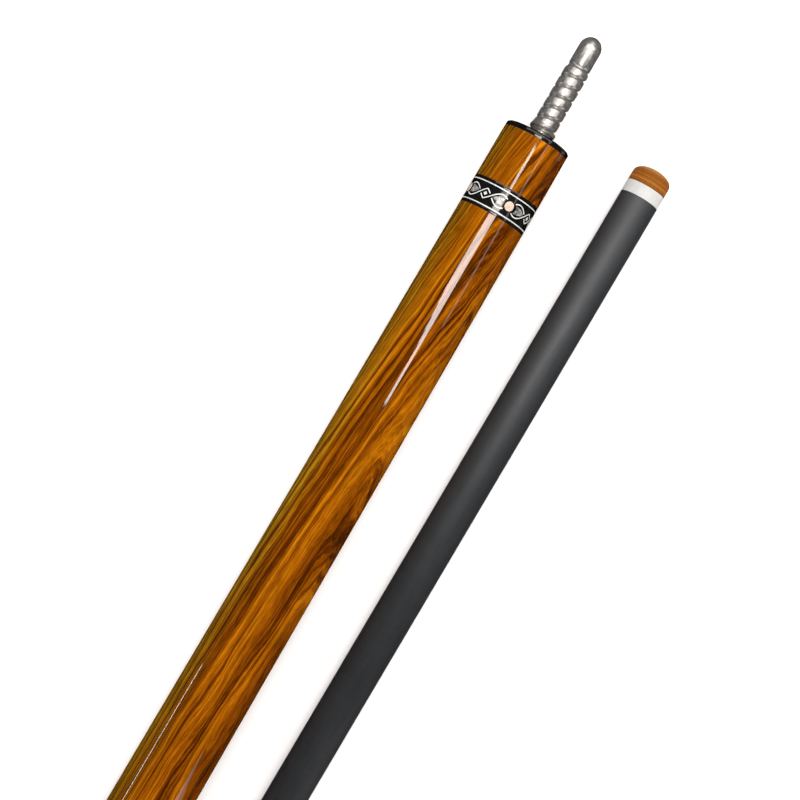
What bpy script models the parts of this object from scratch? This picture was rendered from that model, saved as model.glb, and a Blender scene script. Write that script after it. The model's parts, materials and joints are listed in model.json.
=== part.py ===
"""Two-piece pool cue, unscrewed, with its halves lying side by side.

Metres, +X towards the joint pin and the tip, +Z up. The origin is on the surface that the cue lies on,
at the middle of its bounding box. Each half is turned about its own axis, local X, with x = 0 at the
butt's joint face or at the shaft's joint face.
"""

import math

import bmesh
import bpy
from mathutils import Vector

MM = 0.001
GAP = 0.3 * MM  # clearance between solids that touch on the real cue
FINE_GAP = 0.1 * MM  # the same in the stack of thin rings
ROUND = 24  # sides of an outer turned piece
INNER_ROUND = 16  # sides of a hidden turned piece
ARC_STEPS = 6  # along a rounded outline

# The cue as a whole
HALF_LENGTH = 736.6 * MM  # 29 inches: each half of a 58-inch cue
JOINT_DIAMETER = 21.3 * MM
AXIS_SPACING = 36.2 * MM  # between the halves, at the joint face
SHAFT_YAW = math.radians(0.32)  # the shaft's joint end lies closer to the butt than its tip does
TIP_AHEAD = 10 * MM  # how far the tip lies ahead of the butt's joint face

# The butt, as distances behind the joint face
TAPER_LINEAR = 7.5 * MM  # growth in diameter per metre
TAPER_CURVE = 8.5 * MM  # growth in diameter per metre squared
COLLAR_END = 1.8 * MM
COLLAR_EDGE = 0.4 * MM  # the chamfer at each collar's joint face
SLEEVE_END = 19.0 * MM
RING_END = 28.3 * MM
FOREARM_END = 300 * MM
FRONT_TRIM_END = 306 * MM
GRIP_END = 591 * MM
REAR_TRIM_END = 597 * MM
BUTT_SLEEVE_END = 697 * MM
CAP_TRIM_END = 702 * MM
CAP_END = 726.2 * MM
CAP_EDGE = 1.5 * MM  # the rounding of the cap's rear edge
WASHER_THICKNESS = 1.0 * MM
BUMPER_START = CAP_END + GAP + WASHER_THICKNESS + GAP
EDGE_RING = 1.05 * MM  # each black ring outside the hoops
HOOP = 0.35 * MM  # each silver hoop
TRIM_HOOP = 0.8 * MM  # each silver hoop of a trim ring
WRAP_THICKNESS = 0.8 * MM
FRONT_TENON_RADIUS = 6.5 * MM
TRIM_TENON_RADIUS = 8.5 * MM
REAR_TENON_RADIUS = 9.8 * MM

# The joint pin
PIN_REACH = 34.8 * MM
PIN_NOSE_LENGTH = 10.4 * MM
PIN_NOSE_RADIUS = 3.55 * MM
PIN_ROOT_RADIUS = 3.25 * MM
PIN_CREST_RADIUS = 3.85 * MM
PIN_FLARE_RADIUS = 4.4 * MM
PIN_PITCH = 3.6 * MM
PIN_TAIL_LENGTH = 28 * MM
PIN_TAIL_RADIUS = 4.0 * MM
PIN_TAIL_CHAMFER = 1 * MM
PIN_FLARE_AT = 1.6 * MM  # the flare's crest, ahead of the joint face
PIN_HOLE_RADIUS = 4.8 * MM

# The screw between forearm and handle
A_SCREW_RADIUS = 4.75 * MM
A_SCREW_HALF = 30 * MM

# The weight bolt, its sleeve and the bumper
THREADED_SLEEVE_LENGTH = 68 * MM
THREADED_SLEEVE_END = CAP_END - 0.5 * MM  # a little inside the cap's mouth
REAR_TENON_END = CAP_END - 8 * MM
THREADED_SLEEVE_RADIUS = 6.6 * MM
BOLT_RADIUS = 4.76 * MM  # 3/8 inch
BOLT_LENGTH = 32 * MM
BOLT_START = CAP_END - 17 * MM  # the bolt's rear end
HEX_RADIUS = 2.7 * MM  # the bolt's key hole, to its corners
HEX_DEPTH = 4 * MM
BUMPER_RADIUS = 14.2 * MM
BUMPER_STUD_LENGTH = 13.5 * MM
BUMPER_POCKET = 4 * MM  # how far the stud reaches into the rubber
BUMPER_FLAT_RADIUS = 8 * MM
BUMPER_EDGE = 0.5 * MM  # the chamfer at the bumper's front
BUMPER_RIM = 0.8 * MM  # from its front to where its dome begins
WASHER_RADIUS = 12 * MM

# The inlays in the centre ring
REPEATS = 4
FIRST_DOT = math.radians(16)  # from straight up, towards the shaft
LENS_TURN = math.radians(20)
INLAY_DEPTH = 0.9 * MM
INLAY_SINK = 0.1 * MM  # below the ring's surface
INLAY_FLOOR = 0.2 * MM  # under an inlay
INLAY_MARGIN = 0.25 * MM  # round an inlay
DOT_RADIUS = 1.4 * MM
DOT_SIDES = 12
LENS_LENGTH = 3.4 * MM
LENS_WIDTH = 2.6 * MM
LENS_HOLLOW = 0.16  # how deep its near side is hollowed, as a share of its length
LENS_FULLNESS = 0.6  # below 1, a lens stays wide until close to its point
DIAMOND_LENGTH = 1.5 * MM
DIAMOND_WIDTH = 1.1 * MM

# The shaft, as distances behind the tip's apex
TIP_LENGTH = 6.2 * MM
TIP_DOME = 3.1 * MM
TIP_FULLNESS = 0.8  # below 1, the dome has rounder shoulders than an ellipse
FERRULE_END = 10.2 * MM
SHAFT_RADIUS = 6.2 * MM
SHAFT_STRAIGHT_END = 330 * MM  # the constant diameter of a professional taper ends here
TAPER_POWER = 1.25  # above 1, the shaft swells more towards its joint
TUBE_WALL = 1.3 * MM
FERRULE_TENON_RADIUS = SHAFT_RADIUS - TUBE_WALL - GAP
FERRULE_TENON_LENGTH = 18 * MM
SHAFT_COLLAR_LENGTH = 10 * MM
SHAFT_HOOP = 0.8 * MM
INSERT_LENGTH = 42 * MM
INSERT_RADIUS = 6.3 * MM
SOCKET_RADIUS = 4.2 * MM
SOCKET_DEPTH = 38 * MM
SOCKET_MOUTH_RADIUS = 4.8 * MM  # clears the flare at the pin's base
SOCKET_MOUTH_DEPTH = 2.5 * MM
PLUG_LENGTH = 60 * MM
PLUG_RADIUS = 7.6 * MM

COLOURS = {
    "figured_wood": ((0.45, 0.17, 0.02), 0.15, 0.0),
    "black_phenolic": ((0.012, 0.012, 0.012), 0.2, 0.0),
    "silver": ((0.75, 0.75, 0.75), 0.25, 1.0),
    "pearl": ((0.8, 0.76, 0.72), 0.25, 0.0),
    "pink_pearl": ((0.85, 0.6, 0.5), 0.3, 0.0),
    "steel": ((0.6, 0.6, 0.6), 0.2, 1.0),
    "brass": ((0.7, 0.5, 0.2), 0.3, 1.0),
    "plain_wood": ((0.35, 0.22, 0.11), 0.5, 0.0),
    "linen": ((0.05, 0.05, 0.055), 0.8, 0.0),
    "rubber": ((0.02, 0.02, 0.02), 0.7, 0.0),
    "carbon": ((0.06, 0.063, 0.066), 0.6, 0.0),
    "foam": ((0.75, 0.65, 0.4), 0.9, 0.0),
    "ferrule": ((0.82, 0.82, 0.78), 0.4, 0.0),
    "leather": ((0.35, 0.18, 0.08), 0.7, 0.0),
}


def clear_scene():
    for obj in list(bpy.data.objects):
        bpy.data.objects.remove(obj, do_unlink=True)


def material_for(node_name, look):
    colour, roughness, metallic = COLOURS[look]
    material = bpy.data.materials.new(node_name)
    material.use_nodes = True
    shader = material.node_tree.nodes["Principled BSDF"]
    shader.inputs["Base Color"].default_value = (*colour, 1)
    shader.inputs["Roughness"].default_value = roughness
    shader.inputs["Metallic"].default_value = metallic
    return material


def object_from(name, mesh_builder, look, parent):
    """A shaded object named after its node, on the axis of its half."""
    bmesh.ops.recalc_face_normals(mesh_builder, faces=mesh_builder.faces)
    mesh = bpy.data.meshes.new(name)
    mesh_builder.to_mesh(mesh)
    mesh_builder.free()
    mesh.shade_smooth()
    mesh.set_sharp_from_angle(angle=math.radians(35))
    mesh.materials.append(material_for(name, look))
    obj = bpy.data.objects.new(name, mesh)
    bpy.context.collection.objects.link(obj)
    obj.parent = parent
    return obj


def turned(name, outline, look, parent, sides=ROUND):
    """A piece turned about local X from (x, radius) points.

    An outline that starts and ends at radius 0 makes a solid, and one that stays off the axis is
    closed on itself, into a tube.
    """
    builder = bmesh.new()
    points = [builder.verts.new((x, 0, radius)) for x, radius in outline]
    pairs = list(zip(points, points[1:]))
    if outline[0][1] > 0:
        pairs.append((points[-1], points[0]))
    edges = [builder.edges.new(pair) for pair in pairs]
    bmesh.ops.spin(
        builder,
        geom=points + edges,
        cent=(0, 0, 0),
        axis=(1, 0, 0),
        angle=math.tau,
        steps=sides,
        use_merge=True,
    )
    bmesh.ops.remove_doubles(builder, verts=builder.verts, dist=0.001 * MM)
    return object_from(name, builder, look, parent)


def tube(name, start, end, outer, inner, look, parent, sides=ROUND):
    """A plain tube between two distances behind the joint face, of radius outer(x) outside."""
    outline = [(-start, outer(start)), (-end, outer(end)), (-end, inner), (-start, inner)]
    return turned(name, outline, look, parent, sides)


def rod(name, start, end, radius, look, parent, chamfer=0.4 * MM):
    """A plain rod with chamfered ends."""
    outline = [
        (start, 0),
        (start, radius - chamfer),
        (start - chamfer, radius),
        (end + chamfer, radius),
        (end, radius - chamfer),
        (end, 0),
    ]
    return turned(name, outline, look, parent, INNER_ROUND)


def butt_radius(distance):
    """The butt's outer radius at a distance behind its joint face."""
    return (JOINT_DIAMETER + TAPER_LINEAR * distance + TAPER_CURVE * distance**2) / 2


def shaft_radius(distance):
    """The shaft's outer radius at a distance behind its tip: straight, then growing to the joint."""
    if distance <= SHAFT_STRAIGHT_END:
        return SHAFT_RADIUS
    share = (distance - SHAFT_STRAIGHT_END) / (HALF_LENGTH - SHAFT_STRAIGHT_END)
    return SHAFT_RADIUS + (JOINT_DIAMETER / 2 - SHAFT_RADIUS) * share**TAPER_POWER


def stations(start, end, count):
    return [start + (end - start) * i / count for i in range(count + 1)]


def half_axis(name, joint_face, tilt, yaw):
    """An empty at a half's joint face, whose local X is the half's axis."""
    axis = bpy.data.objects.new(name, None)
    bpy.context.collection.objects.link(axis)
    axis.location = joint_face
    axis.rotation_euler = (0, tilt, yaw)
    return axis


def pin_profile():
    """The joint pin from its nose to the end of its tail, with the thread as round crests."""
    outline = []
    for i in range(ARC_STEPS + 1):
        turn = i / ARC_STEPS * math.pi / 2
        x = PIN_REACH - PIN_NOSE_RADIUS + PIN_NOSE_RADIUS * math.cos(turn)
        outline.append((x, PIN_NOSE_RADIUS * math.sin(turn)))
    x = PIN_REACH - PIN_NOSE_LENGTH
    while x > 1.3 * PIN_PITCH:
        outline.append((x, PIN_ROOT_RADIUS))
        outline.append((x - PIN_PITCH / 3, PIN_CREST_RADIUS))
        x -= PIN_PITCH
    return outline + [
        (x, PIN_ROOT_RADIUS),
        (PIN_FLARE_AT, PIN_FLARE_RADIUS),
        (0, PIN_TAIL_RADIUS),
        (-PIN_TAIL_LENGTH + PIN_TAIL_CHAMFER, PIN_TAIL_RADIUS),
        (-PIN_TAIL_LENGTH, PIN_TAIL_RADIUS - PIN_TAIL_CHAMFER),
        (-PIN_TAIL_LENGTH, 0),
    ]


def make_joint_end(butt):
    """The pin, the collar and the short sleeve behind it."""
    turned("joint_pin", pin_profile(), "steel", butt, INNER_ROUND)
    collar = [
        (0, butt_radius(0) - COLLAR_EDGE),
        (-COLLAR_EDGE, butt_radius(0)),
        (-COLLAR_END, butt_radius(COLLAR_END)),
        (-COLLAR_END, PIN_HOLE_RADIUS),
        (0, PIN_HOLE_RADIUS),
    ]
    turned("joint_collar", collar, "black_phenolic", butt)
    bore = FRONT_TENON_RADIUS + GAP
    tube("joint_sleeve", COLLAR_END + GAP, SLEEVE_END, butt_radius, bore, "figured_wood", butt)


def make_ring(butt):
    """Three black rings with two silver washers between them, and the centre ring's inlays."""
    bore = FRONT_TENON_RADIUS + GAP
    hoop_front = SLEEVE_END + EDGE_RING
    hoop_rear = RING_END - EDGE_RING - HOOP
    centre_start = hoop_front + HOOP + FINE_GAP
    centre_end = hoop_rear - FINE_GAP
    stack = [
        ("ring_edge_front", SLEEVE_END + FINE_GAP, hoop_front - FINE_GAP, "black_phenolic"),
        ("ring_hoop_front", hoop_front, hoop_front + HOOP, "silver"),
        ("ring_hoop_rear", hoop_rear, hoop_rear + HOOP, "silver"),
        ("ring_edge_rear", hoop_rear + HOOP + FINE_GAP, RING_END, "black_phenolic"),
    ]
    for name, start, end, look in stack:
        tube(name, start, end, butt_radius, bore, look, butt)
    centre = tube(
        "ring_centre", centre_start, centre_end, butt_radius, bore, "black_phenolic", butt, 2 * ROUND
    )
    make_inlays(butt, centre, (centre_start + centre_end) / 2)


def dot_outline(radius):
    turns = [math.tau * i / DOT_SIDES for i in range(DOT_SIDES)]
    return [(radius * math.cos(turn), radius * math.sin(turn)) for turn in turns]


def diamond_outline(length, width):
    return [(length / 2, 0), (0, width / 2), (-length / 2, 0), (0, -width / 2)]


def lens_outline(length, width, point_side):
    """A lens along the ring, hollowed on the side of the dot and pointed on the other side."""
    corners = []
    for i in range(ARC_STEPS + 1):
        share = i / ARC_STEPS
        bulge = math.cos(share * math.pi / 2) ** LENS_FULLNESS
        corners.append((point_side * (share - 0.5) * length, width / 2 * bulge))
    lower = [(along, -across) for along, across in reversed(corners[:-1])]
    hollow = [(point_side * (LENS_HOLLOW - 0.5) * length, 0)]
    return corners + lower + hollow


def inlay_block(outline, turn, middle, outer, inner):
    """A block with this outline, as (round the ring, along the cue), between two radii."""
    builder = bmesh.new()
    layers = []
    for radius in (inner, outer):
        layer = []
        for around, along in outline:
            angle = turn + around / outer
            x = -middle + along
            layer.append(builder.verts.new((x, -radius * math.sin(angle), radius * math.cos(angle))))
        layers.append(layer)
    builder.faces.new(layers[0])
    builder.faces.new(list(reversed(layers[1])))
    count = len(outline)
    for i in range(count):
        j = (i + 1) % count
        builder.faces.new((layers[0][i], layers[1][i], layers[1][j], layers[0][j]))
    bmesh.ops.triangulate(builder, faces=builder.faces)
    return builder


def grown(outline, margin):
    """The outline moved outwards by a margin, for the pocket round an inlay."""
    count = len(outline)
    centre = Vector((sum(p[0] for p in outline), sum(p[1] for p in outline))) / count
    bigger = []
    for point in outline:
        arm = Vector(point) - centre
        bigger.append(tuple(centre + arm * (1 + margin / arm.length)))
    return bigger


def inlay(name, outline, turn, butt, middle, look, ring):
    """An inlay a little under the ring's surface, and the pocket that holds it."""
    surface = butt_radius(middle) - INLAY_SINK
    floor = surface - INLAY_DEPTH
    object_from(name, inlay_block(outline, turn, middle, surface, floor), look, butt)
    pocket_shape = inlay_block(
        grown(outline, INLAY_MARGIN), turn, middle, surface + INLAY_DEPTH, floor - INLAY_FLOOR
    )
    pocket = object_from(name + "_pocket", pocket_shape, "black_phenolic", butt)
    pocket.hide_render = True
    pocket.display_type = "WIRE"
    cut = ring.modifiers.new(name + "_pocket", "BOOLEAN")
    cut.object = pocket
    cut.operation = "DIFFERENCE"
    cut.solver = "EXACT"


def make_inlays(butt, ring, middle):
    dot = dot_outline(DOT_RADIUS)
    diamond = diamond_outline(DIAMOND_LENGTH, DIAMOND_WIDTH)
    for i in range(REPEATS):
        turn = FIRST_DOT + math.tau * i / REPEATS
        inlay(f"pearl_dot_{i + 1}", dot, turn, butt, middle, "pink_pearl", ring)
        for side in (-1, 1):
            number = 2 * i + (3 + side) // 2
            lens = lens_outline(LENS_LENGTH, LENS_WIDTH, side)
            lens_turn = turn + side * LENS_TURN
            inlay(f"pearl_lens_{number}", lens, lens_turn, butt, middle, "pearl", ring)
        halfway = turn + math.pi / REPEATS
        inlay(f"silver_diamond_{i + 1}", diamond, halfway, butt, middle, "silver", ring)


def make_forearm(butt):
    """Figured wood: a front tenon with the pin's hole in it, the taper, and a socket at the rear."""
    pin_hole = PIN_TAIL_RADIUS + GAP
    screw_hole = A_SCREW_RADIUS + GAP
    tenon_start = COLLAR_END + GAP
    outline = [(-tenon_start, FRONT_TENON_RADIUS), (-RING_END - GAP, FRONT_TENON_RADIUS)]
    for distance in stations(RING_END + GAP, FOREARM_END, 8):
        outline.append((-distance, butt_radius(distance)))
    outline += [
        (-FOREARM_END, screw_hole),
        (-FOREARM_END + A_SCREW_HALF + GAP, screw_hole),
        (-FOREARM_END + A_SCREW_HALF + GAP, 0),
    ]
    front_hole = [
        (-PIN_TAIL_LENGTH - GAP, 0),
        (-PIN_TAIL_LENGTH - GAP, pin_hole),
        (-tenon_start, pin_hole),
    ]
    turned("forearm", front_hole + outline, "figured_wood", butt)
    start = -FOREARM_END + A_SCREW_HALF
    rod("a_joint_screw", start, start - 2 * A_SCREW_HALF, A_SCREW_RADIUS, "steel", butt)


def make_trim(butt, name, start, end, bore):
    """A trim ring: a silver washer, a black ring and a silver washer."""
    tube(f"{name}_hoop_front", start + GAP, start + GAP + TRIM_HOOP, butt_radius, bore, "silver", butt)
    black = (start + 2 * GAP + TRIM_HOOP, end - 2 * GAP - TRIM_HOOP)
    tube(f"{name}_ring", *black, butt_radius, bore, "black_phenolic", butt)
    tube(f"{name}_hoop_rear", end - GAP - TRIM_HOOP, end - GAP, butt_radius, bore, "silver", butt)


def make_handle(butt):
    """The core under the wrap, with a tenon at each end, and the wrap."""

    def core_radius(distance):
        return butt_radius(distance) - WRAP_THICKNESS

    screw_hole = A_SCREW_RADIUS + GAP
    screw_end = FOREARM_END + A_SCREW_HALF + GAP
    bore = THREADED_SLEEVE_RADIUS + GAP
    bore_end = THREADED_SLEEVE_END - THREADED_SLEEVE_LENGTH - GAP
    outline = [
        (-screw_end, 0),
        (-screw_end, screw_hole),
        (-FOREARM_END - GAP, screw_hole),
        (-FOREARM_END - GAP, TRIM_TENON_RADIUS),
        (-FRONT_TRIM_END, TRIM_TENON_RADIUS),
    ]
    for distance in stations(FRONT_TRIM_END, GRIP_END, 6):
        outline.append((-distance, core_radius(distance)))
    outline += [
        (-GRIP_END, REAR_TENON_RADIUS),
        (-REAR_TENON_END, REAR_TENON_RADIUS),
        (-REAR_TENON_END, bore),
        (-bore_end, bore),
        (-bore_end, 0),
    ]
    turned("handle", outline, "plain_wood", butt)
    wrap = [(-d, butt_radius(d)) for d in stations(FRONT_TRIM_END + GAP, GRIP_END - GAP, 6)]
    wrap += [(x, core_radius(-x) + GAP) for x, _ in reversed(wrap)]
    turned("grip_wrap", wrap, "linen", butt)


def make_butt_end(butt):
    """The rear sleeve, the cap, the threaded sleeve and the weight bolt."""
    bore = REAR_TENON_RADIUS + GAP
    sleeve = [(-d, butt_radius(d)) for d in stations(REAR_TRIM_END, BUTT_SLEEVE_END, 3)]
    sleeve += [(-BUTT_SLEEVE_END, bore), (-REAR_TRIM_END, bore)]
    turned("butt_sleeve", sleeve, "figured_wood", butt)
    radius = butt_radius(CAP_END)
    mouth = THREADED_SLEEVE_RADIUS + GAP
    cap = [
        (-CAP_TRIM_END, butt_radius(CAP_TRIM_END)),
        (-CAP_END + CAP_EDGE, radius),
        (-CAP_END + 0.3 * CAP_EDGE, radius - 0.3 * CAP_EDGE),
        (-CAP_END, radius - CAP_EDGE),
        (-CAP_END, mouth),
        (-REAR_TENON_END - GAP, mouth),
        (-REAR_TENON_END - GAP, bore),
        (-CAP_TRIM_END, bore),
    ]
    turned("butt_cap", cap, "black_phenolic", butt)
    sleeve_front = -THREADED_SLEEVE_END + THREADED_SLEEVE_LENGTH
    threaded = [
        (sleeve_front, THREADED_SLEEVE_RADIUS),
        (-THREADED_SLEEVE_END, THREADED_SLEEVE_RADIUS),
        (-THREADED_SLEEVE_END, BOLT_RADIUS + GAP),
        (sleeve_front, BOLT_RADIUS + GAP),
    ]
    turned("threaded_sleeve", threaded, "brass", butt, INNER_ROUND)
    bolt = rod("weight_bolt", -BOLT_START + BOLT_LENGTH, -BOLT_START, BOLT_RADIUS, "steel", butt)
    hex_key_hole(bolt, butt)


def hex_key_hole(bolt, butt):
    """A hexagon socket in the weight bolt's rear end."""
    cutter_mesh = bmesh.new()
    bmesh.ops.create_cone(
        cutter_mesh,
        cap_ends=True,
        segments=6,
        radius1=HEX_RADIUS,
        radius2=HEX_RADIUS,
        depth=2 * HEX_DEPTH,
    )
    cutter = object_from("hex_cutter", cutter_mesh, "steel", butt)
    cutter.location = (-BOLT_START, 0, 0)
    cutter.rotation_euler = (0, math.pi / 2, 0)
    cutter.hide_render = True
    cutter.display_type = "WIRE"
    cut = bolt.modifiers.new("hex socket", "BOOLEAN")
    cut.object = cutter
    cut.operation = "DIFFERENCE"
    cut.solver = "EXACT"


def make_bumper(butt):
    """The rubber bumper on its stud, and the washer between it and the cap."""
    start = CAP_END + GAP
    stud_bore = BOLT_RADIUS + GAP
    washer = [
        (-start, WASHER_RADIUS),
        (-start - WASHER_THICKNESS, WASHER_RADIUS),
        (-start - WASHER_THICKNESS, stud_bore),
        (-start, stud_bore),
    ]
    turned("bumper_washer", washer, "steel", butt)
    pocket = BUMPER_START + BUMPER_POCKET
    outline = [
        (-pocket, 0),
        (-pocket, stud_bore),
        (-BUMPER_START, stud_bore),
        (-BUMPER_START, BUMPER_RADIUS - BUMPER_EDGE),
    ]
    rim = BUMPER_START + BUMPER_RIM
    fall = BUMPER_RADIUS - BUMPER_FLAT_RADIUS
    for i in range(ARC_STEPS + 1):
        turn = i / ARC_STEPS * math.pi / 2
        x = rim + (HALF_LENGTH - rim) * math.sin(turn)
        outline.append((-x, BUMPER_FLAT_RADIUS + fall * math.cos(turn)))
    outline.append((-HALF_LENGTH, 0))
    turned("bumper", outline, "rubber", butt)
    stud_front = -BUMPER_START + BUMPER_STUD_LENGTH
    rod("bumper_stud", stud_front, -pocket + GAP, BOLT_RADIUS, "steel", butt)


def tube_bore(distance):
    """The carbon tube's bore, which stops widening where the plug fits it."""
    return min(shaft_radius(distance) - TUBE_WALL, PLUG_RADIUS + GAP)


def along_shaft(distance):
    """Local x at a distance behind the tip."""
    return HALF_LENGTH - distance


def make_tip_end(shaft):
    """The domed leather tip, and the ferrule with its tenon."""
    tip = [(along_shaft(0), 0)]
    for i in range(1, ARC_STEPS + 1):
        turn = i / ARC_STEPS * math.pi / 2
        x = along_shaft(TIP_DOME) + TIP_DOME * math.cos(turn)
        tip.append((x, SHAFT_RADIUS * math.sin(turn) ** TIP_FULLNESS))
    tip += [(along_shaft(TIP_LENGTH), SHAFT_RADIUS), (along_shaft(TIP_LENGTH), 0)]
    turned("tip", tip, "leather", shaft)
    tenon_end = FERRULE_END + FERRULE_TENON_LENGTH
    ferrule = [
        (along_shaft(TIP_LENGTH + GAP), 0),
        (along_shaft(TIP_LENGTH + GAP), SHAFT_RADIUS),
        (along_shaft(FERRULE_END), SHAFT_RADIUS),
        (along_shaft(FERRULE_END), FERRULE_TENON_RADIUS),
        (along_shaft(tenon_end), FERRULE_TENON_RADIUS),
        (along_shaft(tenon_end), 0),
    ]
    turned("ferrule", ferrule, "ferrule", shaft)


def make_carbon_tube(shaft):
    """The hollow tube, and the foam between the ferrule's tenon and the plug."""
    front = FERRULE_END + GAP
    rear = HALF_LENGTH - SHAFT_COLLAR_LENGTH - SHAFT_HOOP - 2 * GAP
    taper = stations(SHAFT_STRAIGHT_END, rear, 7)
    wall = [(along_shaft(d), shaft_radius(d)) for d in [front] + taper]
    bore = [(along_shaft(d), tube_bore(d)) for d in [front] + taper]
    turned("carbon_tube", wall + bore[::-1], "carbon", shaft)
    foam_front = FERRULE_END + FERRULE_TENON_LENGTH + GAP
    foam_rear = HALF_LENGTH - PLUG_LENGTH - GAP
    reach = [foam_front] + [d for d in taper if d < foam_rear] + [foam_rear]
    foam = [(along_shaft(foam_front), 0)]
    foam += [(along_shaft(d), tube_bore(d) - GAP) for d in reach]
    foam.append((along_shaft(foam_rear), 0))
    turned("foam_core", foam, "foam", shaft, INNER_ROUND)


def make_shaft_joint(shaft):
    """The plug, the threaded insert with the pin's socket, the collar and the hoop."""
    insert_hole = INSERT_RADIUS + GAP
    plug = [
        (INSERT_LENGTH + GAP, 0),
        (INSERT_LENGTH + GAP, insert_hole),
        (0, insert_hole),
        (0, PLUG_RADIUS),
        (PLUG_LENGTH, PLUG_RADIUS),
        (PLUG_LENGTH, 0),
    ]
    turned("insert_plug", plug, "black_phenolic", shaft)
    insert = [
        (SOCKET_DEPTH, 0),
        (SOCKET_DEPTH, SOCKET_RADIUS),
        (SOCKET_MOUTH_DEPTH, SOCKET_RADIUS),
        (SOCKET_MOUTH_DEPTH, SOCKET_MOUTH_RADIUS),
        (0, SOCKET_MOUTH_RADIUS),
        (0, INSERT_RADIUS),
        (INSERT_LENGTH, INSERT_RADIUS),
        (INSERT_LENGTH, 0),
    ]
    turned("shaft_insert", insert, "brass", shaft, INNER_ROUND)
    bore = PLUG_RADIUS + GAP
    front = SHAFT_COLLAR_LENGTH
    collar = [
        (front, shaft_radius(along_shaft(front))),
        (COLLAR_EDGE, JOINT_DIAMETER / 2),
        (0, JOINT_DIAMETER / 2 - COLLAR_EDGE),
        (0, bore),
        (front, bore),
    ]
    turned("shaft_collar", collar, "black_phenolic", shaft)
    hoop = [
        (front + GAP + SHAFT_HOOP, shaft_radius(along_shaft(front + GAP + SHAFT_HOOP))),
        (front + GAP, shaft_radius(along_shaft(front + GAP))),
        (front + GAP, bore),
        (front + GAP + SHAFT_HOOP, bore),
    ]
    turned("shaft_hoop", hoop, "silver", shaft)


def main():
    clear_scene()
    rear_radius = butt_radius(CAP_END)
    butt_tilt = math.atan2(rear_radius - JOINT_DIAMETER / 2, CAP_END)
    shaft_tilt = math.atan2(JOINT_DIAMETER / 2 - SHAFT_RADIUS, HALF_LENGTH - TIP_LENGTH)

    joint_x = (HALF_LENGTH - PIN_REACH) / 2
    joint_radius = JOINT_DIAMETER / 2
    drift = HALF_LENGTH * math.sin(SHAFT_YAW)
    butt_y = (AXIS_SPACING - drift + joint_radius - rear_radius) / 2
    butt = half_axis("butt_axis", (joint_x, butt_y, joint_radius), butt_tilt, 0)
    shaft_x = joint_x + TIP_AHEAD - HALF_LENGTH
    shaft_y = butt_y - AXIS_SPACING + drift
    shaft = half_axis("shaft_axis", (shaft_x, shaft_y, joint_radius), shaft_tilt, -SHAFT_YAW)

    make_joint_end(butt)
    make_ring(butt)
    make_forearm(butt)
    make_trim(butt, "front_trim", FOREARM_END, FRONT_TRIM_END, TRIM_TENON_RADIUS + GAP)
    make_handle(butt)
    make_trim(butt, "rear_trim", GRIP_END, REAR_TRIM_END, REAR_TENON_RADIUS + GAP)
    make_butt_end(butt)
    make_trim(butt, "cap_trim", BUTT_SLEEVE_END, CAP_TRIM_END, REAR_TENON_RADIUS + GAP)
    make_bumper(butt)
    make_tip_end(shaft)
    make_carbon_tube(shaft)
    make_shaft_joint(shaft)


main()
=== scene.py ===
import json
import math

import bmesh
import bpy
from mathutils import Matrix, Vector


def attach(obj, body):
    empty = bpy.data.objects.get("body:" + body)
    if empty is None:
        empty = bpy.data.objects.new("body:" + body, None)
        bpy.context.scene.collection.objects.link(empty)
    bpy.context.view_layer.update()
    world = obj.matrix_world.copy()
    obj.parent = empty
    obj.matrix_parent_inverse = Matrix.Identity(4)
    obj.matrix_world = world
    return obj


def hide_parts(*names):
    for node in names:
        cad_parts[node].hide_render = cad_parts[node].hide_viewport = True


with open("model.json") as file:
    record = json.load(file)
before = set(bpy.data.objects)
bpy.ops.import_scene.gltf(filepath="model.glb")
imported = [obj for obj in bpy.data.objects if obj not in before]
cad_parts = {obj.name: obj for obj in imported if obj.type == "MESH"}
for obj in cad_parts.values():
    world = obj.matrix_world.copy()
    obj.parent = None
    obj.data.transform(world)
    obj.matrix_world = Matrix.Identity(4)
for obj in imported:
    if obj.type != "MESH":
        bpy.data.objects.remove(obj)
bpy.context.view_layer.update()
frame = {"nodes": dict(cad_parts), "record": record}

MM = 0.001
GAP = 0.3 * MM  # clearance between pieces that touch on the real cue, out of sight
SIDES = 160  # round a visible turned piece
ARC_STEPS = 14  # along a quarter turn of an outline
CORNER_STEPS = 3  # round a softened corner
LONG_SIDE = 3 * MM  # of a turned piece's outline

# The butt, as distances behind its joint face
JOINT_DIAMETER = 21.3 * MM
TAPER_LINEAR = 7.5 * MM  # growth of the diameter per metre
TAPER_CURVE = 8.5 * MM  # and per metre squared
COLLAR_END = 1.8 * MM
SLEEVE_END = 19.0 * MM
RING_END = 28.3 * MM
FOREARM_END = 300 * MM
FRONT_TRIM_END = 306 * MM
GRIP_END = 591 * MM
REAR_TRIM_END = 597 * MM
BUTT_SLEEVE_END = 697 * MM
CAP_TRIM_END = 702 * MM
CAP_END = 726.2 * MM
HALF_LENGTH = 736.6 * MM
BUMPER_END = HALF_LENGTH - 0.01 * MM
COLLAR_EDGE = 0.4 * MM
EDGE_RING = 1.05 * MM
HOOP = 0.35 * MM
TRIM_HOOP = 0.8 * MM
FRONT_BORE = 6.8 * MM
SCREW_BORE = 5.05 * MM
SCREW_DEPTH = 30.3 * MM
FRONT_TRIM_BORE = 8.8 * MM
REAR_BORE = 10.1 * MM
STUD_BORE = 5.06 * MM
WASHER_RADIUS = 12 * MM
WASHER_THICKNESS = 1.2 * MM
BUMPER_RADIUS = 14.2 * MM
BUMPER_FLAT_RADIUS = 8 * MM
WRAP_THREAD = 0.75 * MM
WRAP_FLOOR = 0.45 * MM  # how deep the grooves between the wrap's threads are

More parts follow.
